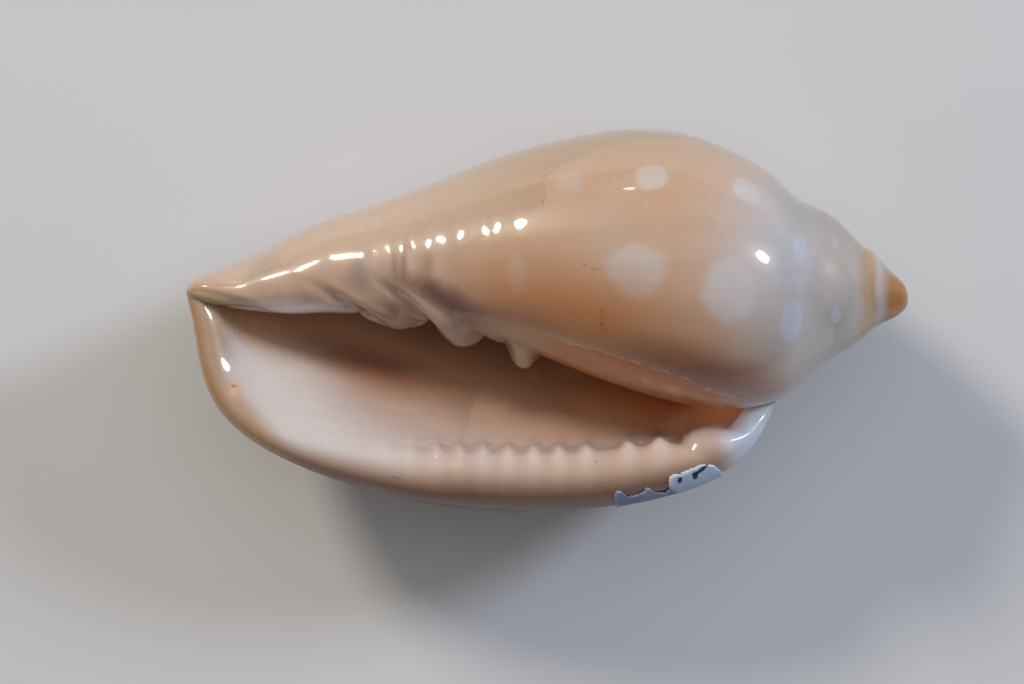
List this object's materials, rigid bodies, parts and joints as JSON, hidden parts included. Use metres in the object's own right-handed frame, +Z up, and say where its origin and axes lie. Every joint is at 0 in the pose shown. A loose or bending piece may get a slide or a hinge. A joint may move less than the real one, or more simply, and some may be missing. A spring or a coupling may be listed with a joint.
{
  "type": "marginella shell",
  "caption": "Glossy spiral sea-snail shell lying on its back, with a long open aperture, folded columella, thick toothed lip and a torn paper label.",
  "frame": {"origin": "middle of the bounding box at the surface the shell rests on", "axes": "+X from the canal to the apex, +Y away from the lip, +Z up, out of the aperture"},
  "size_m": [0.045, 0.0238, 0.0189],
  "materials": {
    "shell": "glossy",
    "label": "matte"
  },
  "bodies": {
    "root": {"shell": "shell", "label": "label"}
  },
  "joints": []
}
